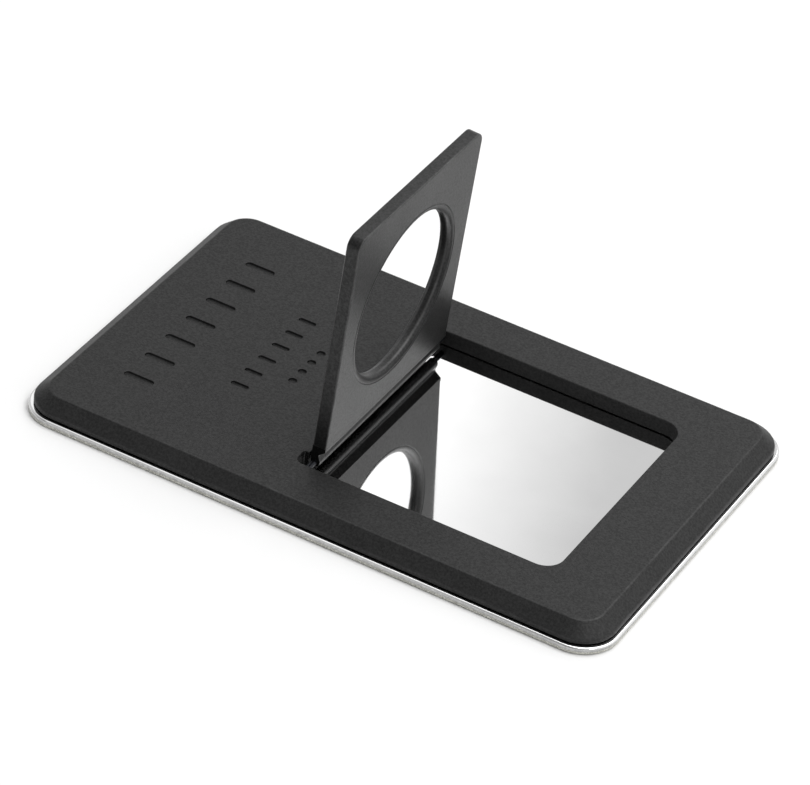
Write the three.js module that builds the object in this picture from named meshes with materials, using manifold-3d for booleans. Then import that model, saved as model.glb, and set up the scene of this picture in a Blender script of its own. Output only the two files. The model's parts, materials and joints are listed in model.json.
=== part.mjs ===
// A card-size diamond sharpening plate with a flip-up finger ring.
// Millimetres, +Z up. The origin is the middle of the abrasive face, which lies on z = 0.
// +X runs along the plate, from the marked end of the holder to its window.
import * as THREE from "three";
import { mergeVertices } from "three/addons/utils/BufferGeometryUtils.js";
import Module from "manifold-3d";

// Sharpening plate: a steel card with diamond grit plated on its underside.
const PLATE_LENGTH = 85;
const PLATE_WIDTH = 54;
const PLATE_CORNER = 5.2;
const PLATE_TOP = 1;
const PLATE_EDGE_BREAK = 0.12;
const COATING_THICKNESS = 0.12;
const COATING_WRAP_TOP = 0.45; // the plating climbs this far up the rim
const COATING_ROLL = 0.3; // width and height of the rolled lower edge
const PLATING_GAP = 0.02;

// Adhesive sheet that bonds the holder to the plate.
const ADHESIVE_THICKNESS = 0.15;
const ADHESIVE_INSET = 0.4;

// Holder: a moulded frame with a chamfered edge and a window.
const HOLDER_MARGIN = 0.57;
const HOLDER_CORNER = 4.9;
const HOLDER_BOTTOM = PLATE_TOP + ADHESIVE_THICKNESS;
const HOLDER_WALL_HEIGHT = 0.62;
const HOLDER_CHAMFER_WIDTH = 1.9;
const HOLDER_TOP = 3.4;
const HOLDER_CHAMFER_HEIGHT = HOLDER_TOP - HOLDER_BOTTOM - HOLDER_WALL_HEIGHT;

const WINDOW_LEFT = -5.45;
const WINDOW_RIGHT = 31;
const WINDOW_HALF_WIDTH = 17.8;
const WINDOW_CORNER = 2.6;
const WINDOW_HINGE_CORNER = 0.4;

// Relief on the holder's flat end: a row of bars, a row of short bars and a row of dots.
const RELIEF_DEPTH = 0.3;
const BAR_ROW = { x: -31.2, count: 7, pitch: 5, length: 4.4, width: 1.1 };
const SHORT_BAR_ROW = { x: -20, count: 6, pitch: 3.4, length: 2.6, width: 0.8 };
const DOT_ROW = { x: -15, count: 4, pitch: 2.4, length: 1.2, width: 1.1 };

// Ring handle, in its own frame: the hinge axis at its origin, z along the handle, x to its front.
const HINGE_X = -4.6;
const HINGE_Z = 2.45;
const HANDLE_LEAN = THREE.MathUtils.degToRad(3.5);
const HANDLE_FRONT = 1.3;
const HANDLE_BACK = -0.6;
const HANDLE_HALF_WIDTH = 15.5;
const HANDLE_TOP = 35.3;
const HANDLE_CORNER = 1.6;
const HANDLE_PLATE_START = 2.05;
const FOOT_FRONT = 0.75; // the front of the round foot that holds the pin
const FOOT_BOTTOM = -0.65;
const UNDERCUT_FRONT = 0.4; // the groove between the foot and the slope above it
const UNDERCUT_TOP = 1.2;
const FOOT_JOIN = 0.2; // how far the foot's section runs up into the handle's plate
const RING_CENTRE = 18.2;
const RING_BORE = 11.4;
const RING_RIM = 12.5;
const RING_LIP_DEPTH = 0.6;

// Hinge pin, its pockets beside the handle and its sockets in the holder.
const PIN_RADIUS = 0.4;
const PIN_HALF_LENGTH = 19;
const PIN_PRESS_GAP = 0.02;
const SOCKET_RADIUS = 0.47;
const SOCKET_END = 19.2;
const POCKET_LEFT = -6.2;
const POCKET_RIGHT = -3.4;
const POCKET_INNER = HANDLE_HALF_WIDTH - 0.2;
const POCKET_CORNER = 1;

const CORNER_STEPS = 4; // an arc gets two facets for each step
const LIP_STEPS = 4;
const RING_SIDES = 56;
const PIN_SIDES = 20;
const CUT_MARGIN = 2; // how far a cutting tool runs past the surface that it cuts

const manifold = await Module();
manifold.setup();

// Solids

function solidOf(geometry) {
  const bare = geometry.clone();
  bare.deleteAttribute("normal");
  bare.deleteAttribute("uv");
  const merged = mergeVertices(bare, 1e-4);
  const mesh = new manifold.Mesh({
    numProp: 3,
    vertProperties: new Float32Array(merged.attributes.position.array),
    triVerts: new Uint32Array(merged.index.array),
  });
  return new manifold.Manifold(mesh);
}

function geometryOf(solid) {
  const mesh = solid.getMesh();
  const geometry = new THREE.BufferGeometry();
  geometry.setAttribute("position", new THREE.BufferAttribute(mesh.vertProperties, 3));
  geometry.setIndex(new THREE.BufferAttribute(mesh.triVerts, 1));
  geometry.computeVertexNormals();
  return geometry;
}

function piece(name, solid, look) {
  const mesh = new THREE.Mesh(geometryOf(solid), new THREE.MeshStandardMaterial(look));
  mesh.name = name;
  return mesh;
}

// Outlines

// A rectangle with rounded corners, where the two left corners may have a radius of their own.
function roundedRectangle(left, right, low, high, radius, leftRadius = radius) {
  const quarter = Math.PI / 2;
  const shape = new THREE.Shape();
  shape.absarc(right - radius, high - radius, radius, 0, quarter);
  shape.absarc(left + leftRadius, high - leftRadius, leftRadius, quarter, 2 * quarter);
  shape.absarc(left + leftRadius, low + leftRadius, leftRadius, 2 * quarter, 3 * quarter);
  shape.absarc(right - radius, low + radius, radius, 3 * quarter, 4 * quarter);
  shape.closePath();
  return shape;
}

// The plate's outline moved inwards, with a corner radius of its own.
function cardOutline(inset, radius) {
  const x = PLATE_LENGTH / 2 - inset;
  const y = PLATE_WIDTH / 2 - inset;
  return roundedRectangle(-x, x, -y, y, radius);
}

// Slabs and tools

function slab(outline, low, high) {
  const geometry = new THREE.ExtrudeGeometry(outline, {
    depth: high - low,
    bevelEnabled: false,
    curveSegments: CORNER_STEPS,
  });
  return solidOf(geometry.translate(0, 0, low));
}

function box(left, right, low, high, bottom, top) {
  const geometry = new THREE.BoxGeometry(right - left, high - low, top - bottom);
  return solidOf(geometry.translate((left + right) / 2, (low + high) / 2, (bottom + top) / 2));
}

// A slab whose faces are both smaller than its middle: outline is the shape of the small face.
function doubleChamferedSlab(outline, low, high, width, height) {
  const geometry = new THREE.ExtrudeGeometry(outline, {
    depth: high - low - 2 * height,
    bevelThickness: height,
    bevelSize: width,
    bevelSegments: 1,
    curveSegments: CORNER_STEPS,
  });
  return solidOf(geometry.translate(0, 0, low + height));
}

// A slab with a chamfer round its top face only.
function topChamferedSlab(outline, low, high, width, height) {
  const whole = doubleChamferedSlab(outline, low - height, high, width, height);
  const keep = box(-PLATE_LENGTH, PLATE_LENGTH, -PLATE_WIDTH, PLATE_WIDTH, low, high + CUT_MARGIN);
  return whole.intersect(keep);
}

// A slab with a chamfer round its bottom face only.
function bottomChamferedSlab(outline, low, high, width, height) {
  const whole = doubleChamferedSlab(outline, low, high + height, width, height);
  const keep = box(-PLATE_LENGTH, PLATE_LENGTH, -PLATE_WIDTH, PLATE_WIDTH, low - CUT_MARGIN, high);
  return whole.intersect(keep);
}

function windowOutline() {
  return roundedRectangle(
    WINDOW_LEFT,
    WINDOW_RIGHT,
    -WINDOW_HALF_WIDTH,
    WINDOW_HALF_WIDTH,
    WINDOW_CORNER,
    WINDOW_HINGE_CORNER,
  );
}

// Plate

function diamondCoating() {
  const face = cardOutline(COATING_ROLL, PLATE_CORNER - COATING_ROLL);
  const tray = bottomChamferedSlab(face, 0, COATING_WRAP_TOP, COATING_ROLL, COATING_ROLL);
  return tray.subtract(
    bottomChamferedSlab(
      cardOutline(COATING_THICKNESS + COATING_ROLL, PLATE_CORNER - COATING_ROLL),
      COATING_THICKNESS,
      COATING_WRAP_TOP + CUT_MARGIN,
      COATING_ROLL,
      COATING_ROLL,
    ),
  );
}

function steelPlate() {
  const core = bottomChamferedSlab(
    cardOutline(COATING_THICKNESS + PLATING_GAP + COATING_ROLL, PLATE_CORNER - COATING_ROLL),
    COATING_THICKNESS,
    PLATE_TOP - PLATE_EDGE_BREAK,
    COATING_ROLL,
    COATING_ROLL,
  );
  const rim = topChamferedSlab(
    cardOutline(PLATE_EDGE_BREAK, PLATE_CORNER - PLATE_EDGE_BREAK),
    COATING_WRAP_TOP,
    PLATE_TOP,
    PLATE_EDGE_BREAK,
    PLATE_EDGE_BREAK,
  );
  return core.add(rim);
}

// Holder

function adhesiveSheet() {
  const inset = HOLDER_MARGIN + ADHESIVE_INSET;
  const sheet = slab(cardOutline(inset, HOLDER_CORNER - ADHESIVE_INSET), PLATE_TOP, HOLDER_BOTTOM);
  const opening = roundedRectangle(
    POCKET_LEFT - ADHESIVE_INSET,
    WINDOW_RIGHT + ADHESIVE_INSET,
    -WINDOW_HALF_WIDTH - ADHESIVE_INSET,
    WINDOW_HALF_WIDTH + ADHESIVE_INSET,
    WINDOW_CORNER,
    WINDOW_HINGE_CORNER,
  );
  return sheet.subtract(slab(opening, PLATE_TOP - CUT_MARGIN, HOLDER_BOTTOM + CUT_MARGIN));
}

// One row of round-ended marks, each as long as row.length along X, spread evenly along Y.
function reliefTools({ x, count, pitch, length, width }) {
  const tools = [];
  for (let i = 0; i < count; i++) {
    const y = (i - (count - 1) / 2) * pitch;
    const outline = roundedRectangle(
      x - length / 2,
      x + length / 2,
      y - width / 2,
      y + width / 2,
      width * 0.49,
    );
    tools.push(slab(outline, HOLDER_TOP - RELIEF_DEPTH, HOLDER_TOP + CUT_MARGIN));
  }
  return tools;
}

// side is +1 or -1: the pocket beside the handle, with its outer left corner rounded.
function pocketOutline(side) {
  const inner = side * POCKET_INNER;
  const outer = side * WINDOW_HALF_WIDTH;
  const outline = new THREE.Shape();
  outline.moveTo(POCKET_LEFT, inner);
  outline.lineTo(POCKET_RIGHT, inner);
  outline.lineTo(POCKET_RIGHT, outer);
  outline.absarc(
    POCKET_LEFT + POCKET_CORNER,
    outer - side * POCKET_CORNER,
    POCKET_CORNER,
    (side * Math.PI) / 2,
    Math.PI * side,
    side < 0,
  );
  outline.closePath();
  return outline;
}

// side is +1 or -1: the pocket and the pin's socket, which is open underneath.
function hingeTools(side) {
  const across = (inner, outer) => (side > 0 ? [inner, outer] : [-outer, -inner]);
  const socketStart = WINDOW_HALF_WIDTH - CUT_MARGIN;
  const pocket = slab(pocketOutline(side), HOLDER_BOTTOM - CUT_MARGIN, HOLDER_TOP + CUT_MARGIN);
  const slot = box(
    HINGE_X - SOCKET_RADIUS,
    HINGE_X + SOCKET_RADIUS,
    ...across(socketStart, SOCKET_END),
    HOLDER_BOTTOM - CUT_MARGIN,
    HINGE_Z,
  );
  const seat = new THREE.CylinderGeometry(
    SOCKET_RADIUS,
    SOCKET_RADIUS,
    SOCKET_END - socketStart,
    PIN_SIDES,
  );
  seat.translate(HINGE_X, (side * (SOCKET_END + socketStart)) / 2, HINGE_Z);
  return [pocket, slot, solidOf(seat)];
}

function holderFrame() {
  const body = topChamferedSlab(
    cardOutline(HOLDER_MARGIN + HOLDER_CHAMFER_WIDTH, HOLDER_CORNER - HOLDER_CHAMFER_WIDTH),
    HOLDER_BOTTOM,
    HOLDER_TOP,
    HOLDER_CHAMFER_WIDTH,
    HOLDER_CHAMFER_HEIGHT,
  );
  const tools = [
    slab(windowOutline(), HOLDER_BOTTOM - CUT_MARGIN, HOLDER_TOP + CUT_MARGIN),
    ...hingeTools(1),
    ...hingeTools(-1),
    ...reliefTools(BAR_ROW),
    ...reliefTools(SHORT_BAR_ROW),
    ...reliefTools(DOT_ROW),
  ];
  return tools.reduce((left, tool) => left.subtract(tool), body);
}

// Handle, in its own frame

// Turns a shape drawn in (y, z) and extruded into one that is thick along x.
function standUp(geometry) {
  const y = new THREE.Vector3(0, 1, 0);
  const z = new THREE.Vector3(0, 0, 1);
  const x = new THREE.Vector3(1, 0, 0);
  return geometry.applyMatrix4(new THREE.Matrix4().makeBasis(y, z, x));
}

// Turns a shape drawn in (x, z) and extruded into a bar along y, centred on y = 0.
function layAcross(geometry, width) {
  const x = new THREE.Vector3(1, 0, 0);
  const z = new THREE.Vector3(0, 0, 1);
  const minusY = new THREE.Vector3(0, -1, 0);
  geometry.applyMatrix4(new THREE.Matrix4().makeBasis(x, z, minusY));
  return geometry.translate(0, width / 2, 0);
}

function handlePlate() {
  const quarter = Math.PI / 2;
  const side = HANDLE_HALF_WIDTH;
  const top = HANDLE_TOP - HANDLE_CORNER;
  const outline = new THREE.Shape();
  outline.absarc(side - HANDLE_CORNER, top, HANDLE_CORNER, 0, quarter);
  outline.absarc(HANDLE_CORNER - side, top, HANDLE_CORNER, quarter, 2 * quarter);
  outline.lineTo(-side, HANDLE_PLATE_START);
  outline.lineTo(side, HANDLE_PLATE_START);
  outline.closePath();
  const geometry = new THREE.ExtrudeGeometry(outline, {
    depth: HANDLE_FRONT - HANDLE_BACK,
    bevelEnabled: false,
    curveSegments: CORNER_STEPS,
  });
  return solidOf(standUp(geometry.translate(0, 0, HANDLE_BACK)));
}

// The foot has a flat back, a round bottom round the pin, and a slope up to the handle's front.
function handleFoot() {
  const middle = (HANDLE_BACK + FOOT_FRONT) / 2;
  const halfDepth = (FOOT_FRONT - HANDLE_BACK) / 2;
  const sectionTop = HANDLE_PLATE_START + FOOT_JOIN;
  const section = new THREE.Shape();
  section.moveTo(HANDLE_BACK, sectionTop);
  section.lineTo(HANDLE_BACK, 0);
  section.absellipse(middle, 0, halfDepth, -FOOT_BOTTOM, Math.PI, 2 * Math.PI);
  section.quadraticCurveTo(FOOT_FRONT, UNDERCUT_TOP / 2, UNDERCUT_FRONT, UNDERCUT_TOP);
  section.lineTo(HANDLE_FRONT, HANDLE_PLATE_START);
  section.lineTo(HANDLE_FRONT, sectionTop);
  section.closePath();
  const width = 2 * HANDLE_HALF_WIDTH;
  const geometry = new THREE.ExtrudeGeometry(section, {
    depth: width,
    bevelEnabled: false,
    curveSegments: CORNER_STEPS,
  });
  return solidOf(layAcross(geometry, width));
}

// A round tool along x, with its middle on the ring's centre line.
function ringTool(backX, frontX, backRadius, frontRadius) {
  const tool = new THREE.CylinderGeometry(frontRadius, backRadius, frontX - backX, RING_SIDES);
  tool.rotateZ(-Math.PI / 2);
  return solidOf(tool.translate((backX + frontX) / 2, 0, RING_CENTRE));
}

// The radius and depth of a point on the ring's rounded lip, from its bore (0) to the face (1).
function lipPoint(part) {
  const angle = (part * Math.PI) / 2;
  const radius = RING_RIM - (RING_RIM - RING_BORE) * Math.cos(angle);
  return [radius, RING_LIP_DEPTH * (1 - Math.sin(angle))];
}

// The lip is cut by cones, and each keeps its slope past the face so that it cuts cleanly.
function lipTools() {
  const tools = [];
  for (let i = 0; i < LIP_STEPS; i++) {
    const [innerRadius, innerDepth] = lipPoint(i / LIP_STEPS);
    const [outerRadius, outerDepth] = lipPoint((i + 1) / LIP_STEPS);
    const slope = (outerRadius - innerRadius) / (innerDepth - outerDepth);
    const past = innerRadius + slope * (innerDepth + CUT_MARGIN);
    const front = HANDLE_FRONT + CUT_MARGIN;
    const back = HANDLE_BACK - CUT_MARGIN;
    tools.push(ringTool(HANDLE_FRONT - innerDepth, front, innerRadius, past));
    tools.push(ringTool(back, HANDLE_BACK + innerDepth, past, innerRadius));
  }
  return tools;
}

function ringTools() {
  const bore = ringTool(HANDLE_BACK - CUT_MARGIN, HANDLE_FRONT + CUT_MARGIN, RING_BORE, RING_BORE);
  return [bore, ...lipTools()];
}

function pinGeometry(radius, halfLength) {
  return new THREE.CylinderGeometry(radius, radius, 2 * halfLength, PIN_SIDES);
}

function ringHandle() {
  const blank = handlePlate().add(handleFoot());
  const pinHole = solidOf(pinGeometry(PIN_RADIUS + PIN_PRESS_GAP, HANDLE_HALF_WIDTH + CUT_MARGIN));
  return [...ringTools(), pinHole].reduce((left, tool) => left.subtract(tool), blank);
}

function hingePin() {
  return solidOf(pinGeometry(PIN_RADIUS, PIN_HALF_LENGTH));
}

// Assembly

const BLACK_PLASTIC = { color: 0x1d1d1e, roughness: 0.55, metalness: 0 };

const handle = new THREE.Group();
handle.position.set(HINGE_X, 0, HINGE_Z);
handle.rotation.y = HANDLE_LEAN;
handle.add(
  piece("ring_handle", ringHandle(), BLACK_PLASTIC),
  piece("hinge_pin", hingePin(), { color: 0x35363a, roughness: 0.35, metalness: 1 }),
);

const whetstone = new THREE.Group();
whetstone.add(
  piece("diamond_coating", diamondCoating(), { color: 0x8d8a7c, roughness: 0.8, metalness: 0.4 }),
  piece("steel_plate", steelPlate(), { color: 0xe6e7e8, roughness: 0.05, metalness: 1 }),
  piece("adhesive_sheet", adhesiveSheet(), { color: 0x101010, roughness: 0.9, metalness: 0 }),
  piece("holder_frame", holderFrame(), BLACK_PLASTIC),
  handle,
);

export default whetstone;
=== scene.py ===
"""Looks for a card-size sharpening plate with a flip-up finger ring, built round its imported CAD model."""

import json
import math

import bpy
from mathutils import Matrix, Vector
from mathutils.geometry import tessellate_polygon


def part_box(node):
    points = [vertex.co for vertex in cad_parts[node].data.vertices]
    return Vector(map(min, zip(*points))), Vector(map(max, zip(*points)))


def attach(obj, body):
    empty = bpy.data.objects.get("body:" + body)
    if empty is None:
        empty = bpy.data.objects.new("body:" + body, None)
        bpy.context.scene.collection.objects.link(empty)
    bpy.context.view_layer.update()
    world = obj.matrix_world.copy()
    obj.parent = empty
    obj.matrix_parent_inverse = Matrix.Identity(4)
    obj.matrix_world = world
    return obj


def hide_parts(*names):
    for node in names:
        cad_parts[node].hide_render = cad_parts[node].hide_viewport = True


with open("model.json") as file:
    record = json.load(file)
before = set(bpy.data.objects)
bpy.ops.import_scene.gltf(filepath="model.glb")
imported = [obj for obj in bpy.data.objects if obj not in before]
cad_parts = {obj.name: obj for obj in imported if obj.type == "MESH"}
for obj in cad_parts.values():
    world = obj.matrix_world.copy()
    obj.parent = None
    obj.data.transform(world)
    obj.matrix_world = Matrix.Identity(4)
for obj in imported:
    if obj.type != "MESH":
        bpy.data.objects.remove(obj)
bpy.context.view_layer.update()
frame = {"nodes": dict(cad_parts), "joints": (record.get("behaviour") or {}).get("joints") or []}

MM = 0.001

# Sizes read from the frame
PLATE_LOW, PLATE_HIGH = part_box("steel_plate")
COATING_LOW, COATING_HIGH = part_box("diamond_coating")
HOLDER_LOW, HOLDER_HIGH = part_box("holder_frame")
PIN_LOW, PIN_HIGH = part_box("hinge_pin")
HINGE = Vector(frame["joints"][0]["pos_m"])

# Plate. A piece's REACH is how far its swept edge runs before the flat face that closes it
PLATE_CORNER = 5.2 * MM
PLATE_RIM_RADIUS = 0.3 * MM
COATING_ROLL = 0.24 * MM
COATING_BORDER = 1 * MM
COATING_THICKNESS = PLATE_LOW.z
TRAY_GAP = 0.02 * MM
TRAY_EDGE_RADIUS = 0.03 * MM
TRAY_INNER_RADIUS = 0.2 * MM
PLATE_STEP_RADIUS = 0.04 * MM
PLATE_REACH = 2 * MM

# Holder
HOLDER_CORNER = 4.9 * MM
HOLDER_WALL = 0.62 * MM
HOLDER_CHAMFER = 1.9 * MM
HOLDER_EDGE_RADIUS = 0.5 * MM
HOLDER_UNDER_RADIUS = 0.1 * MM
HOLDER_REACH = 0.5 * MM
WINDOW_LEFT = -5.45 * MM
WINDOW_RIGHT = 31 * MM
WINDOW_SIDE = 17.8 * MM
WINDOW_CORNER = 2.6 * MM
WINDOW_EDGE_RADIUS = 0.18 * MM
WINDOW_UNDER_RADIUS = 0.05 * MM
WINDOW_REACH = 1.5 * WINDOW_EDGE_RADIUS
POCKET_LEFT = -6.2 * MM
POCKET_INNER = 15.3 * MM
POCKET_CORNER = 1 * MM
POCKET_NOTCH = 0.25 * MM
RELIEF_DEPTH = 0.3 * MM
RELIEF_EDGE_RADIUS = 0.07 * MM
RELIEF_DRAFT = 0.06 * MM
ROUND_END = 0.49  # of a mark's width: just under half, so that the two arcs of an end never meet

# Rows of marks on the holder: middle along X, how many, their spacing along Y, and each one's size
BAR_ROW = (-31.2 * MM, 7, 5 * MM, 4.4 * MM, 1.1 * MM)
SHORT_BAR_ROW = (-20 * MM, 6, 3.4 * MM, 2.6 * MM, 0.8 * MM)
DOT_ROW = (-15 * MM, 4, 2.4 * MM, 1.2 * MM, 1.1 * MM)

# Handle, in its own frame: the hinge axis is the origin, z runs along the handle and x to its front
HANDLE_LEAN = math.radians(3.5)
HANDLE_FRONT = 1.3 * MM
HANDLE_BACK = -0.6 * MM
HANDLE_SIDE = 15.5 * MM
HANDLE_TOP = 35.3 * MM
HANDLE_START = 2.05 * MM
HANDLE_CORNER = 1.6 * MM
HANDLE_EDGE_RADIUS = 0.22 * MM
FOOT_FRONT = 0.75 * MM
FOOT_BOTTOM = -0.65 * MM
FOOT_ROUND = 0.6 * MM
FOOT_END_RADIUS = 0.05 * MM
FOOT_END_REACH = 1.5 * FOOT_END_RADIUS
FOOT_CORNER_RADIUS = 0.06 * MM
UNDERCUT_FRONT = 0.4 * MM
UNDERCUT_LOW = 0.25 * MM
UNDERCUT_TOP = 1.2 * MM
UNDERCUT_LOW_RADIUS = 0.3 * MM
UNDERCUT_TOP_RADIUS = 0.35 * MM
RING_CENTRE = 18.2 * MM
RING_BORE = 11.4 * MM
RING_LIP = 0.9 * MM
RING_LIP_DEPTH = 0.75 * MM
GROOVE_WIDTH = 0.2 * MM
GROOVE_DEPTH = 0.12 * MM
GROOVE_RADIUS = GROOVE_WIDTH / 4
LIP_DROP = GROOVE_DEPTH / 5
LIP_SHOULDER = math.radians(80)
LIP_WEAR_AND_HIGHLIGHT = math.radians(18)  # round the lip from the bore, where it is worn most and its lighter grey also paints a highlight
SKIN = 0.005 * MM  # how far the foot's shell lies outside the rest of the handle
PIN_END_RADIUS = 0.1 * MM

# How far a rounded corner turns between two points: on outlines, edges, marks, the pin and the hole
FACET = math.radians(9)
EDGE_FACET = math.radians(15)
MARK_FACET = math.radians(30)
PIN_FACET = math.radians(12)
HOLE_FACET = math.radians(3)

# A triangle whose sides' cross product is smaller than this, in square metres, is dropped
NO_AREA = 1e-16

# Floor: its radius, and how far it lies under the object
FLOOR_RADIUS = 4
FLOOR_DROP = 0.05 * MM

# The photographed view: angles round the object, roll, distance, rise, focal length and sensor width
VIEW_AZIMUTH = math.radians(26)
VIEW_ELEVATION = math.radians(36.7)
VIEW_ROLL = math.radians(6.34)
VIEW_DISTANCE = 0.6014
VIEW_RAISE = 4.8 * MM
VIEW_LENS = 208
VIEW_SENSOR = 36


# Outlines

def rounded(corners, closed=True, facet=FACET):
    """Points along a polygon whose corners (x, y, radius) are arcs, as (point, normal, edge).

    A counter-clockwise polygon's normals point out. edge is 1 in the middle of an outer arc.
    """
    found = []
    last = len(corners) - 1
    for i, (x, y, radius) in enumerate(corners):
        here = Vector((x, y))
        before = (Vector(corners[i - 1][:2]) - here).normalized()
        after = (Vector(corners[(i + 1) % len(corners)][:2]) - here).normalized()
        if not closed and i in (0, last):
            along = after if i == 0 else -before
            found.append((here, Vector((along.y, -along.x)), 0.0))
            continue
        half = before.angle(after) / 2
        centre = here + (before + after).normalized() * (radius / math.sin(half))
        start = here + before * (radius / math.tan(half)) - centre
        turn = 1 if before.y * after.x - before.x * after.y > 0 else -1
        sweep = math.pi - 2 * half
        steps = max(2, math.ceil(sweep / facet))
        first = math.atan2(start.y, start.x)
        for k in range(steps + 1):
            angle = first + turn * sweep * k / steps
            radial = Vector((math.cos(angle), math.sin(angle)))
            edge = math.sin(math.pi * k / steps) if turn > 0 else 0.0
            found.append((centre + radial * radius, radial * turn, edge))
    return found


def ellipse(centre, width, height, first, last):
    """An arc of an ellipse, as rounded() gives its points, between two angles from the -x direction.

    Its edge value peaks near the -x end, at LIP_WEAR_AND_HIGHLIGHT.
    """
    steps = math.ceil(abs(last - first) / FACET)
    found = []
    for k in range(steps + 1):
        angle = first + (last - first) * k / steps
        point = Vector((centre[0] - width * math.cos(angle), centre[1] + height * math.sin(angle)))
        normal = Vector((-math.cos(angle) / width, math.sin(angle) / height)).normalized()
        found.append((point, normal, max(0.0, 1 - abs(angle - LIP_WEAR_AND_HIGHLIGHT) / LIP_WEAR_AND_HIGHLIGHT)))
    return found


def circle(radius, centre, facet):
    """A full circle, as rounded() gives its points."""
    steps = round(2 * math.pi / facet)
    found = []
    for k in range(steps):
        angle = 2 * math.pi * k / steps
        radial = Vector((math.cos(angle), math.sin(angle)))
        found.append((Vector(centre) + radial * radius, radial, 0.0))
    return found


def rectangle(left, right, low, high, radius, facet=FACET):
    corners = [(right, low), (right, high), (left, high), (left, low)]
    return rounded([(x, y, radius) for x, y in corners], facet=facet)


# Meshes

class Skin:
    """A closed surface made of rings, with exact normals and how far each point is on an outer edge."""

    def __init__(self):
        self.points = []
        self.normals = []
        self.edges = []
        self.faces = []

    def ring(self, loop, offset, height, lean, edge):
        """The loop moved out by offset, at that height. lean is the surface normal as (out, up)."""
        start = len(self.points)
        for point, normal, _ in loop:
            moved = point + normal * offset
            self.points.append(Vector((moved.x, moved.y, height)))
            self.normals.append(Vector((normal.x * lean[0], normal.y * lean[0], lean[1])))
            self.edges.append(edge)
        return list(range(start, len(self.points)))

    def sweep(self, loop, profile, facet=EDGE_FACET):
        """Carries a profile of (offset, height, radius) corners round a loop, and returns its end rings."""
        return self.carry(loop, rounded(profile, closed=False, facet=facet))

    def carry(self, loop, path):
        """Carries a path of (offset, height) points round a loop, and returns its end rings."""
        rings = [self.ring(loop, point.x, point.y, normal, edge) for point, normal, edge in path]
        for low, high in zip(rings, rings[1:]):
            count = len(low)
            for i in range(count):
                j = (i + 1) % count
                self.faces.append((low[i], low[j], high[j], high[i]))
        return rings[0], rings[-1]

    def cap(self, rings, up):
        """Fills the flat face inside the first ring and outside the others."""
        flat = [[self.points[i] for i in ring] for ring in rings]
        order = [i for ring in rings for i in ring]
        for triangle in tessellate_polygon(flat):
            a, b, c = (order[i] for i in triangle)
            turned = (self.points[b] - self.points[a]).cross(self.points[c] - self.points[a]).z
            if abs(turned) > NO_AREA:
                self.faces.append((a, b, c) if (turned > 0) == up else (a, c, b))

    def build(self, name, material, matrix=None):
        mesh = bpy.data.meshes.new(name)
        mesh.from_pydata(self.points, [], self.faces)
        # How far each point is on an outer edge. It lightens edges: as wear and, on the handle, as a
        # painted highlight, and as the grit's paler border.
        weight_layer = mesh.attributes.new("outer_edge_weight", "FLOAT", "POINT")
        weight_layer.data.foreach_set("value", self.edges)
        for polygon in mesh.polygons:
            polygon.use_smooth = True
        mesh.normals_split_custom_set_from_vertices([n.normalized() for n in self.normals])
        if matrix is not None:
            mesh.transform(matrix)
        mesh.materials.append(material)
        piece = bpy.data.objects.new(name, mesh)
        bpy.context.scene.collection.objects.link(piece)
        return piece


def card(inset, radius):
    """The plate's outline moved in by inset."""
    return rectangle(
        COATING_LOW.x + inset, COATING_HIGH.x - inset, COATING_LOW.y + inset, COATING_HIGH.y - inset, radius
    )


def place(piece, body, slot, *nodes):
    """The piece rides on a body and stands for those CAD nodes. slot is not used."""
    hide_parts(*nodes)
    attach(piece, body)


# Materials

SOCKETS = {
    "colour": "Base Color",
    "roughness": "Roughness",
    "metallic": "Metallic",
    "gloss": "Specular IOR Level",
    "normal": "Normal",
}


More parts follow.
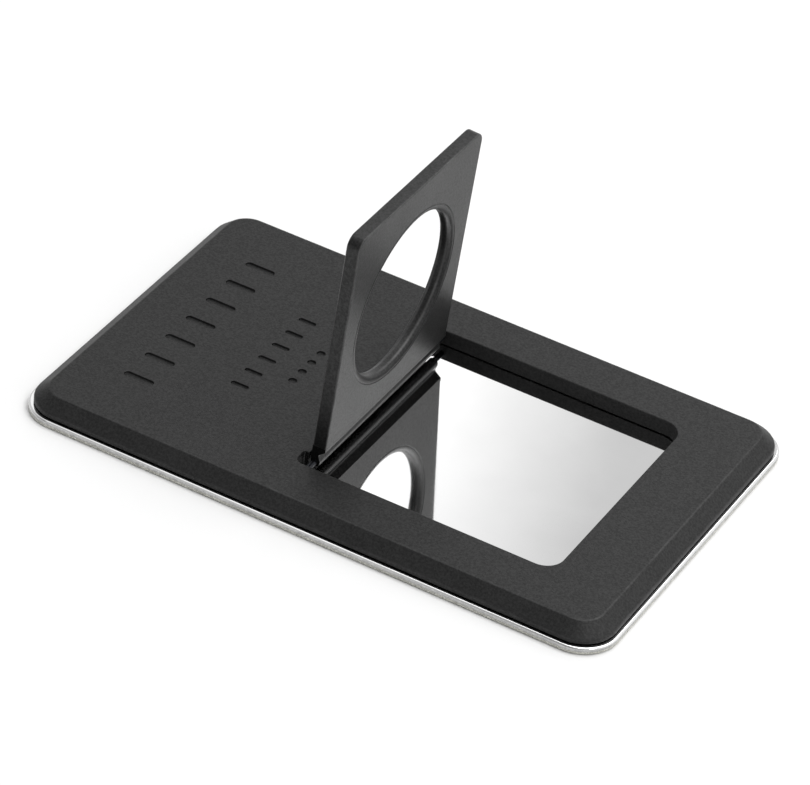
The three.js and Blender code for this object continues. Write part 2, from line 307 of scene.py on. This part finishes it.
class Look:
    """A Principled material with short calls for the nodes that it is made of."""

    def __init__(self, name, metallic=0.0, ior=1.5):
        self.material = bpy.data.materials.new(name)
        self.material.use_nodes = True
        self.nodes = self.material.node_tree.nodes
        self.links = self.material.node_tree.links
        self.shader = self.nodes["Principled BSDF"]
        self.shader.inputs["Metallic"].default_value = metallic
        self.shader.inputs["IOR"].default_value = ior
        self.coordinates = self.nodes.new("ShaderNodeTexCoord").outputs["Object"]

    def stretched(self, scale):
        node = self.nodes.new("ShaderNodeMapping")
        node.inputs["Scale"].default_value = scale
        self.links.new(self.coordinates, node.inputs["Vector"])
        return node.outputs["Vector"]

    def noise(self, size, detail=2.0, roughness=0.5, where=None):
        """Noise whose lumps are about that size, in metres."""
        node = self.nodes.new("ShaderNodeTexNoise")
        node.inputs["Scale"].default_value = 1 / size
        node.inputs["Detail"].default_value = detail
        node.inputs["Roughness"].default_value = roughness
        self.links.new(where or self.coordinates, node.inputs["Vector"])
        return node.outputs["Fac"]

    def cells(self, size, output):
        """Irregular cells of about that size: output is Distance or Color."""
        node = self.nodes.new("ShaderNodeTexVoronoi")
        node.inputs["Scale"].default_value = 1 / size
        self.links.new(self.coordinates, node.inputs["Vector"])
        return node.outputs[output]

    def attribute(self, name):
        node = self.nodes.new("ShaderNodeAttribute")
        node.attribute_name = name
        return node.outputs["Fac"]

    def along(self, axis):
        """How squarely the surface faces along one of the piece's axes, either way: 0 to 1."""
        split = self.nodes.new("ShaderNodeSeparateXYZ")
        self.links.new(self.nodes.new("ShaderNodeTexCoord").outputs["Normal"], split.inputs["Vector"])
        return self.maths("ABSOLUTE", split.outputs[axis])

    def spread(self, value, low, high, to_low, to_high):
        """Maps low..high of a value to to_low..to_high, and holds it there outside."""
        node = self.nodes.new("ShaderNodeMapRange")
        for socket, number in zip(node.inputs[1:5], (low, high, to_low, to_high)):
            socket.default_value = number
        self.links.new(value, node.inputs["Value"])
        return node.outputs["Result"]

    def maths(self, operation, *values):
        node = self.nodes.new("ShaderNodeMath")
        node.operation = operation
        for socket, value in zip(node.inputs, values):
            if isinstance(value, (int, float)):
                socket.default_value = value
            else:
                self.links.new(value, socket)
        return node.outputs["Value"]

    def ramp(self, value, stops):
        node = self.nodes.new("ShaderNodeValToRGB")
        while len(node.color_ramp.elements) < len(stops):
            node.color_ramp.elements.new(1.0)
        for element, (position, colour) in zip(node.color_ramp.elements, stops):
            element.position = position
            element.color = (*colour, 1)
        self.links.new(value, node.inputs["Fac"])
        return node.outputs["Color"]

    def mix(self, factor, a, b):
        node = self.nodes.new("ShaderNodeMix")
        node.data_type = "RGBA"
        self.links.new(factor, node.inputs["Factor"])
        for socket, value in ((node.inputs["A"], a), (node.inputs["B"], b)):
            if isinstance(value, tuple):
                socket.default_value = (*value, 1)
            else:
                self.links.new(value, socket)
        return node.outputs["Result"]

    def bump(self, height, depth, strength=1.0, under=None):
        node = self.nodes.new("ShaderNodeBump")
        node.inputs["Distance"].default_value = depth
        node.inputs["Strength"].default_value = strength
        self.links.new(height, node.inputs["Height"])
        if under is not None:
            self.links.new(under, node.inputs["Normal"])
        return node.outputs["Normal"]

    def set(self, **sockets):
        """Links outputs to the shader's sockets."""
        for name, output in sockets.items():
            self.links.new(output, self.shader.inputs[SOCKETS[name]])
        return self.material


def moulded_plastic(name, greys, wear_and_highlight_grey, satin, gloss, hollow=1.0):
    """Satin black plastic with a spark-eroded grain, worn smooth and a little lighter on its edges, where
    on the handle the lighter grey is also a painted highlight.

    greys, satin (roughness) and gloss are ranges that the grain spreads over, and wear_and_highlight_grey
    is the edges' grey: wear, and where it is set light, a painted highlight. hollow scales the gloss of
    surfaces that don't face along x.
    """
    look = Look(name, ior=1.4)
    mottle = look.noise(7 * MM, detail=4)
    grain = look.noise(0.22 * MM, detail=2, roughness=0.6)
    cloud = look.maths("ADD", look.maths("MULTIPLY", mottle, 0.45), look.maths("MULTIPLY", grain, 0.55))
    dark, light = greys
    colour = look.ramp(cloud, [(0.38, (dark,) * 3), (0.62, (light,) * 3)])
    # The edges' lighter grey, in patches: wear, and on the handle also a painted highlight along its edges,
    # the ring's lip and the foot.
    edge_patches = look.spread(look.noise(3 * MM, detail=5), 0.35, 0.65, 0.35, 1.0)
    wear_and_highlight = look.maths("MULTIPLY", look.attribute("outer_edge_weight"), edge_patches)
    colour = look.mix(wear_and_highlight, colour, (wear_and_highlight_grey,) * 3)
    rough = look.spread(cloud, 0.35, 0.65, *satin)
    roughness = look.maths("SUBTRACT", rough, look.maths("MULTIPLY", wear_and_highlight, 0.08))
    pits = look.spread(look.noise(0.32 * MM, detail=2, roughness=0.7), 0.36, 0.64, *gloss)
    shine = look.maths("MULTIPLY", pits, look.spread(look.along("X"), 0.75, 0.97, hollow, 1.0))
    fine = look.bump(grain, 0.03 * MM, 0.6)
    flow = look.bump(look.noise(9 * MM, detail=1), 0.03 * MM, 0.6, under=fine)
    return look.set(colour=colour, roughness=roughness, normal=flow, gloss=shine)


def holder_plastic():
    return moulded_plastic("holder_plastic", (0.005, 0.009), 0.022, satin=(0.46, 0.54), gloss=(0.36, 0.6))


def handle_plastic(name, hollow):
    # The handle's edge grey is set lighter than the holder's: wear, and a painted highlight along the
    # handle's edges, the ring's lip and the foot.
    return moulded_plastic(name, (0.005, 0.01), 0.07, satin=(0.36, 0.44), gloss=(0.36, 0.64), hollow=hollow)


def mirror_steel():
    """Polished steel with hairlines and a faint bloom, and a ground finish round its rim."""
    look = Look("mirror_steel", metallic=1.0)
    bloom = look.noise(8 * MM, detail=3)
    hairs = look.noise(1 * MM, detail=2, where=look.stretched((0.05, 14, 14)))
    rim = look.spread(look.along("Z"), 0.1, 0.6, 1.0, 0.0)
    polished = look.ramp(bloom, [(0.3, (0.8, 0.8, 0.8)), (0.7, (0.83, 0.83, 0.83))])
    scratches = look.noise(0.4 * MM, detail=3)
    ground = look.ramp(scratches, [(0.3, (0.34, 0.34, 0.34)), (0.7, (0.52, 0.52, 0.51))])
    colour = look.mix(rim, polished, ground)
    polish = look.spread(bloom, 0.35, 0.75, 0.03, 0.05)
    lines = look.spread(hairs, 0.62, 0.8, 0.0, 0.04)
    roughness = look.maths("ADD", look.maths("ADD", polish, lines), look.maths("MULTIPLY", rim, 0.25))
    normal = look.bump(hairs, 0.0004 * MM, 0.25)
    return look.set(colour=colour, roughness=roughness, normal=normal)


def diamond_grit():
    """Coarse diamond grains standing out of grey nickel, paler along the border."""
    look = Look("diamond_grit")
    grain = look.cells(0.16 * MM, "Color")
    tone = look.ramp(
        grain,
        [
            (0.15, (0.012, 0.012, 0.01)),
            (0.38, (0.13, 0.127, 0.1)),
            (0.58, (0.46, 0.455, 0.375)),
            (0.78, (0.97, 0.965, 0.87)),
        ],
    )
    patches = look.noise(18 * MM, detail=3)
    tint = look.ramp(patches, [(0.35, (0.3, 0.305, 0.305)), (0.65, (0.44, 0.425, 0.34))])
    blend = look.spread(look.noise(0.5 * MM, detail=2), 0.3, 0.7, 0.05, 0.25)
    colour = look.mix(blend, tone, tint)
    pale = look.spread(look.attribute("outer_edge_weight"), 0.0, 1.0, 0.0, 0.7)
    colour = look.mix(pale, colour, (0.6, 0.595, 0.55))
    facets = look.spread(look.cells(0.1 * MM, "Distance"), 0.0, 0.7, 1.0, 0.0)
    lumps = look.spread(look.cells(0.16 * MM, "Distance"), 0.0, 0.8, 1.0, 0.0)
    shine = look.spread(grain, 0.2, 0.9, 0.6, 0.25)
    metal = look.spread(grain, 0.0, 0.6, 0.7, 0.1)
    rough = look.bump(facets, 0.03 * MM, 0.8, under=look.bump(lumps, 0.06 * MM, 1.0))
    return look.set(colour=colour, roughness=shine, metallic=metal, normal=rough)


def foam_tape():
    look = Look("foam_tape")
    pores = look.cells(0.12 * MM, "Distance")
    colour = look.ramp(pores, [(0.0, (0.004, 0.004, 0.004)), (1.0, (0.018, 0.018, 0.018))])
    roughness = look.spread(look.noise(2 * MM), 0.3, 0.7, 0.85, 0.98)
    return look.set(colour=colour, roughness=roughness, normal=look.bump(pores, 0.03 * MM, 0.8))


def drawn_wire():
    """Blackened steel wire with lines along its length."""
    look = Look("drawn_wire", metallic=1.0)
    lines = look.noise(0.3 * MM, detail=2, where=look.stretched((12, 0.2, 12)))
    colour = look.ramp(lines, [(0.3, (0.022, 0.023, 0.027)), (0.7, (0.05, 0.052, 0.058))])
    roughness = look.spread(lines, 0.3, 0.7, 0.28, 0.42)
    return look.set(colour=colour, roughness=roughness, normal=look.bump(lines, 0.004 * MM, 0.6))


def pale_floor():
    look = Look("pale_floor")
    cloud = look.noise(0.4, detail=2)
    colour = look.ramp(cloud, [(0.3, (0.8, 0.8, 0.8)), (0.7, (0.81, 0.81, 0.81))])
    roughness = look.spread(cloud, 0.3, 0.7, 0.9, 0.95)
    return look.set(colour=colour, roughness=roughness)


# Pieces

def diamond_face():
    """The plated tray: its flat face, its rolled edge and the band that climbs the plate's rim."""
    skin = Skin()
    wrap = COATING_HIGH.z
    profile = [
        (-PLATE_REACH, 0, 0),
        (0, 0, COATING_ROLL),
        (0, wrap, TRAY_EDGE_RADIUS),
        (-COATING_THICKNESS, wrap, TRAY_EDGE_RADIUS),
        (-COATING_THICKNESS, COATING_THICKNESS, TRAY_INNER_RADIUS),
        (-PLATE_REACH, COATING_THICKNESS, 0),
    ]
    path = rounded(profile, closed=False, facet=EDGE_FACET)
    border = (Vector((-COATING_BORDER, 0)), path[0][1], 0.0)
    rim = [(point, normal, 1.0) for point, normal, _ in path[1:]]
    under, inside = skin.carry(card(0, PLATE_CORNER), [path[0], border, *rim])
    skin.cap([under], up=False)
    skin.cap([inside], up=True)
    return skin.build("diamond_face", diamond_grit())


def steel_card():
    """The plate: its lower part sits in the coating's tray, and its upper part is flush with the tray."""
    skin = Skin()
    inset = COATING_THICKNESS + TRAY_GAP
    wrap = COATING_HIGH.z
    profile = [
        (-PLATE_REACH, PLATE_LOW.z, 0),
        (-inset, PLATE_LOW.z, TRAY_INNER_RADIUS),
        (-inset, wrap, TRAY_EDGE_RADIUS),
        (0, wrap, PLATE_STEP_RADIUS),
        (0, PLATE_HIGH.z, PLATE_RIM_RADIUS),
        (-PLATE_REACH, PLATE_HIGH.z, 0),
    ]
    under, top = skin.sweep(card(0, PLATE_CORNER), profile)
    skin.cap([under], up=False)
    skin.cap([top], up=True)
    return skin.build("steel_card", mirror_steel())


def window_loop():
    """The window, with a pocket at each end of the hinge."""
    left = [
        (POCKET_LEFT, WINDOW_SIDE, POCKET_CORNER),
        (POCKET_LEFT, POCKET_INNER, POCKET_NOTCH),
        (WINDOW_LEFT, POCKET_INNER, POCKET_NOTCH),
    ]
    mirrored = [(x, -y, radius) for x, y, radius in reversed(left)]
    right = [(WINDOW_RIGHT, -WINDOW_SIDE, WINDOW_CORNER), (WINDOW_RIGHT, WINDOW_SIDE, WINDOW_CORNER)]
    return rounded(right + left + mirrored)


def pit(skin, loop, top):
    """A shallow mark with soft edges and a flat floor. Returns the ring of its mouth."""
    floor = top - RELIEF_DEPTH
    lip = 2 * RELIEF_EDGE_RADIUS
    profile = [
        (lip, top, 0),
        (0, top, RELIEF_EDGE_RADIUS),
        (-RELIEF_DRAFT, floor, RELIEF_EDGE_RADIUS),
        (-RELIEF_DRAFT - lip, floor, 0),
    ]
    mouth, bottom = skin.sweep(loop, profile, facet=MARK_FACET)
    skin.cap([bottom], up=True)
    return mouth


def pits(skin, row, top):
    """A row of marks. Returns the rings of their mouths."""
    x, count, pitch, length, width = row
    left, right = x - length / 2, x + length / 2
    mouths = []
    for i in range(count):
        y = (i - (count - 1) / 2) * pitch
        low, high = y - width / 2, y + width / 2
        loop = rectangle(left, right, low, high, width * ROUND_END, facet=EDGE_FACET)
        mouths.append(pit(skin, loop, top))
    return mouths


def holder():
    """The moulding: a short wall and a chamfer round it, its window and its rows of marks."""
    skin = Skin()
    low, top = HOLDER_LOW.z, HOLDER_HIGH.z
    outside = [
        (-HOLDER_REACH, low, 0),
        (0, low, HOLDER_UNDER_RADIUS),
        (0, low + HOLDER_WALL, HOLDER_EDGE_RADIUS),
        (-HOLDER_CHAMFER, top, HOLDER_EDGE_RADIUS),
        (-HOLDER_CHAMFER - HOLDER_REACH, top, 0),
    ]
    under, face = skin.sweep(card(HOLDER_LOW.x - COATING_LOW.x, HOLDER_CORNER), outside)
    inside = [
        (WINDOW_REACH, top, 0),
        (0, top, WINDOW_EDGE_RADIUS),
        (0, low, WINDOW_UNDER_RADIUS),
        (WINDOW_REACH, low, 0),
    ]
    opening, opening_under = skin.sweep(window_loop(), inside)
    marks = [ring for row in (BAR_ROW, SHORT_BAR_ROW, DOT_ROW) for ring in pits(skin, row, top)]
    skin.cap([face, opening, *marks], up=True)
    skin.cap([under, opening_under], up=False)
    return skin.build("holder", holder_plastic())


# Turns that make a sweep's height run through the handle's thickness, and along the hinge
STAND_UP = Matrix(((0, 0, 1, 0), (1, 0, 0, 0), (0, 1, 0, 0), (0, 0, 0, 1)))
LAY_ACROSS = Matrix(((1, 0, 0, 0), (0, 0, -1, 0), (0, 1, 0, 0), (0, 0, 0, 1)))


def handle_matrix(stood):
    """From the handle's own frame, or from one where z is its thickness, to the object's frame."""
    lean = Matrix.Translation(HINGE) @ Matrix.Rotation(HANDLE_LEAN, 4, "Y")
    return lean @ STAND_UP if stood else lean


def lip_path():
    """Across the ring's edge: a fine groove and a rounded lip on each face, with the bore between them."""
    middle = (HANDLE_FRONT + HANDLE_BACK) / 2
    face = HANDLE_FRONT
    groove = [
        (RING_LIP + 4 * GROOVE_WIDTH, face, 0),
        (RING_LIP + GROOVE_WIDTH, face, GROOVE_RADIUS),
        (RING_LIP + GROOVE_WIDTH / 2, face - GROOVE_DEPTH, GROOVE_RADIUS),
        (RING_LIP, face - LIP_DROP, GROOVE_RADIUS),
        (RING_LIP - GROOVE_WIDTH, face - LIP_DROP, 0),
    ]
    centre = (RING_LIP, face - RING_LIP_DEPTH)
    lip = ellipse(centre, RING_LIP, RING_LIP_DEPTH, LIP_SHOULDER, 0)
    # The groove takes none of the lighter edge grey, neither wear nor painted highlight.
    plain_groove = [(point, normal, 0.0) for point, normal, _ in rounded(groove, closed=False)]
    front = plain_groove[:-1] + lip
    back = [
        (Vector((point.x, 2 * middle - point.y)), Vector((normal.x, -normal.y)), edge)
        for point, normal, edge in reversed(front)
    ]
    return front + back


def handle_ring():
    """The flat of the handle and its finger hole."""
    skin = Skin()
    outline = rounded([
        (-HANDLE_SIDE, HANDLE_START, HANDLE_EDGE_RADIUS),
        (HANDLE_SIDE, HANDLE_START, HANDLE_EDGE_RADIUS),
        (HANDLE_SIDE, HANDLE_TOP, HANDLE_CORNER),
        (-HANDLE_SIDE, HANDLE_TOP, HANDLE_CORNER),
    ])
    radius = HANDLE_EDGE_RADIUS * 0.99  # leaves a trace of flat inside each rounding
    edge = [
        (-HANDLE_EDGE_RADIUS, HANDLE_BACK, 0),
        (0, HANDLE_BACK, radius),
        (0, HANDLE_FRONT, radius),
        (-HANDLE_EDGE_RADIUS, HANDLE_FRONT, 0),
    ]
    back, front = skin.sweep(outline, edge)
    hole = circle(RING_BORE, (0, RING_CENTRE), HOLE_FACET)
    hole_front, hole_back = skin.carry(hole, lip_path())
    skin.cap([front, hole_front], up=True)
    skin.cap([back, hole_back], up=False)
    plastic = handle_plastic("handle_plastic", hollow=1.0)
    return skin.build("ring_handle_flat", plastic, handle_matrix(stood=True))


def handle_foot():
    """The foot: a flat back, a round bottom round the pin, and a slope up to the handle's front."""
    skin = Skin()
    front = HANDLE_FRONT + SKIN
    back = HANDLE_BACK - SKIN
    section_top = HANDLE_START + 2 * HANDLE_EDGE_RADIUS
    section = rounded([
        (back, FOOT_BOTTOM, FOOT_ROUND),
        (FOOT_FRONT, FOOT_BOTTOM, FOOT_ROUND),
        (FOOT_FRONT, UNDERCUT_LOW, UNDERCUT_LOW_RADIUS),
        (UNDERCUT_FRONT, UNDERCUT_TOP, UNDERCUT_TOP_RADIUS),
        (front, HANDLE_START, FOOT_CORNER_RADIUS),
        (front, section_top, 2 * SKIN),
        (back, section_top, 2 * SKIN),
    ])
    half = HANDLE_SIDE + SKIN
    ends = [
        (-FOOT_END_REACH, -half, 0),
        (0, -half, FOOT_END_RADIUS),
        (0, half, FOOT_END_RADIUS),
        (-FOOT_END_REACH, half, 0),
    ]
    near, far = skin.sweep(section, ends)
    skin.cap([near], up=False)
    skin.cap([far], up=True)
    plastic = handle_plastic("handle_foot_plastic", hollow=0.12)
    return skin.build("ring_handle_foot", plastic, handle_matrix(stood=False) @ LAY_ACROSS)


def pin():
    """The hinge pin, with rounded ends."""
    skin = Skin()
    radius = (PIN_HIGH.z - PIN_LOW.z) / 2
    half = PIN_HIGH.y
    profile = [
        (-0.5 * radius, -half, 0),
        (0, -half, PIN_END_RADIUS),
        (0, half, PIN_END_RADIUS),
        (-0.5 * radius, half, 0),
    ]
    near, far = skin.sweep(circle(radius, (0, 0), PIN_FACET), profile)
    skin.cap([near], up=False)
    skin.cap([far], up=True)
    return skin.build("pin", drawn_wire(), Matrix.Translation(HINGE) @ LAY_ACROSS)


# Stage

def add_camera():
    """The photographed view, with the whole object in frame."""
    a, e = VIEW_AZIMUTH, VIEW_ELEVATION
    back = Vector((math.sin(a) * math.cos(e), -math.cos(a) * math.cos(e), math.sin(e)))
    level = Vector((math.cos(a), math.sin(a), 0))
    rise = back.cross(level)
    right = level * math.cos(VIEW_ROLL) + rise * math.sin(VIEW_ROLL)
    up = rise * math.cos(VIEW_ROLL) - level * math.sin(VIEW_ROLL)
    camera = bpy.data.objects.new("camera", bpy.data.cameras.new("camera"))
    camera.data.lens = VIEW_LENS
    camera.data.sensor_width = VIEW_SENSOR
    camera.data.clip_start = 0.01
    camera.data.clip_end = 50
    where = back * VIEW_DISTANCE + up * VIEW_RAISE
    camera.matrix_world = Matrix.Translation(where) @ Matrix((right, up, back)).transposed().to_4x4()
    bpy.context.scene.collection.objects.link(camera)
    bpy.context.scene.camera = camera


def add_softbox(name, where, size, brightness):
    """A square light that faces the object."""
    data = bpy.data.lights.new(name, "AREA")
    data.shape = "SQUARE"
    data.size = size
    data.energy = brightness * math.pi * size * size
    light = bpy.data.objects.new(name, data)
    light.location = where
    light.rotation_mode = "QUATERNION"
    light.rotation_quaternion = (-Vector(where)).to_track_quat("-Z", "Y")
    bpy.context.scene.collection.objects.link(light)


def add_world():
    """A soft white room: a narrow bright band on the left, brighter to the right, dimmer at the camera."""
    world = bpy.data.worlds.new("studio")
    world.use_nodes = True
    nodes = world.node_tree.nodes
    links = world.node_tree.links
    split = nodes.new("ShaderNodeSeparateXYZ")
    links.new(nodes.new("ShaderNodeTexCoord").outputs["Generated"], split.inputs["Vector"])

    def fade(axis, low, high, to_low, to_high):
        """Goes from one strength to another as the direction turns from low to high along an axis."""
        node = nodes.new("ShaderNodeMapRange")
        for socket, number in zip(node.inputs[1:5], (low, high, to_low, to_high)):
            socket.default_value = number
        links.new(split.outputs[axis], node.inputs["Value"])
        return node.outputs["Result"]

    def joined(operation, a, b):
        node = nodes.new("ShaderNodeMath")
        node.operation = operation
        links.new(a, node.inputs[0])
        links.new(b, node.inputs[1])
        return node.outputs["Value"]

    panel = joined("MULTIPLY", fade("X", -0.348, -0.307, 1.36, 0.72), fade("X", -0.5, -0.37, 0.5, 1.0))
    sides = joined("ADD", panel, fade("X", 0.1, 0.6, 0.0, 0.35))
    strength = joined("MULTIPLY", sides, fade("Y", -0.7, 0.1, 0.45, 1.0))
    links.new(strength, nodes["Background"].inputs["Strength"])
    nodes["Background"].inputs["Color"].default_value = (1, 1, 1, 1)
    bpy.context.scene.world = world


def add_floor():
    """A wide round floor just under the object."""
    bpy.ops.mesh.primitive_circle_add(
        vertices=96, radius=FLOOR_RADIUS, fill_type="NGON", location=(0, 0, -FLOOR_DROP)
    )
    floor = bpy.context.object
    floor.name = "floor"
    floor.data.materials.append(pale_floor())


add_camera()
add_world()
add_softbox("softbox_above", (0.32, 0.3, 1.25), size=1.3, brightness=2.4)
add_softbox("softbox_right", (0.9, -0.42, 0.85), size=0.3, brightness=4.5)
add_softbox("softbox_back", (-0.02, 0.42, 0.36), size=0.13, brightness=3)
add_floor()
bpy.context.scene.view_settings.view_transform = "Standard"

place(diamond_face(), "base", "diamond_grit", "diamond_coating")
place(steel_card(), "base", "polished_steel", "steel_plate")
place(holder(), "base", "holder_plastic", "holder_frame")
place(handle_ring(), "handle", "handle_plastic", "ring_handle")
place(handle_foot(), "handle", "handle_plastic", "ring_handle")
place(pin(), "handle", "pin_steel", "hinge_pin")

tape = frame["nodes"]["adhesive_sheet"]
tape.data.materials.clear()
tape.data.materials.append(foam_tape())
